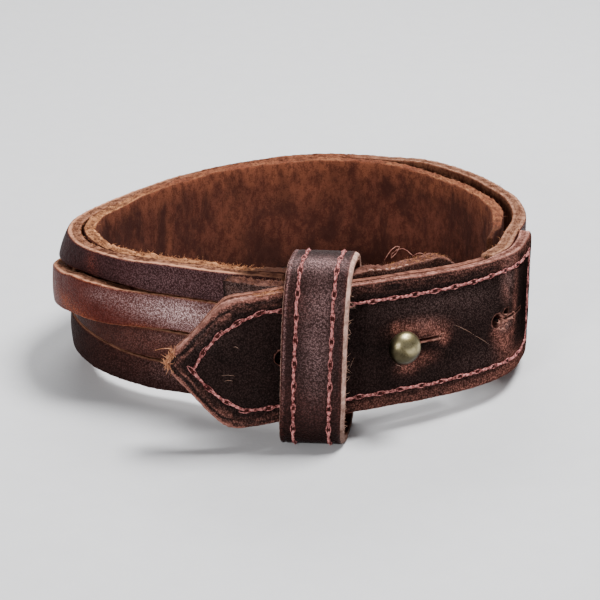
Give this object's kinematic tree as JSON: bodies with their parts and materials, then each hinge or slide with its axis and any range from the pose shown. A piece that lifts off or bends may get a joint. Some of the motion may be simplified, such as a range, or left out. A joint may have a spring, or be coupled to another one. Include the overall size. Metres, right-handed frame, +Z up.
{
  "type": "multi-strand leather bracelet",
  "caption": "Wide leather bracelet with suede lining, side strands that cross, and a pointed stitched strap held by a leather loop and a round brass stud.",
  "frame": {"origin": "middle of the bounding box on the surface the bracelet rests on", "axes": "+Z up through the wrist opening, -Y towards the pointed strap and its stud, +X towards the strap's sewn end"},
  "size_m": [0.0774, 0.0774, 0.0292],
  "materials": {
    "leather": "waxed dark brown leather with worn red-brown patches and raw tan edges",
    "suede": "raw red-brown suede",
    "brass": "antique brass",
    "thread": "waxed dusty red thread"
  },
  "bodies": {
    "root": {"liner": "suede", "outer_band": "leather", "strand_top": "leather", "strand_crossing": "leather", "strand_under": "leather", "strand_bottom": "leather", "stud_tongue": "leather", "strap_face": "leather", "strap_lining": "suede", "keeper_loop": "leather", "stud": "brass"}
  },
  "joints": []
}
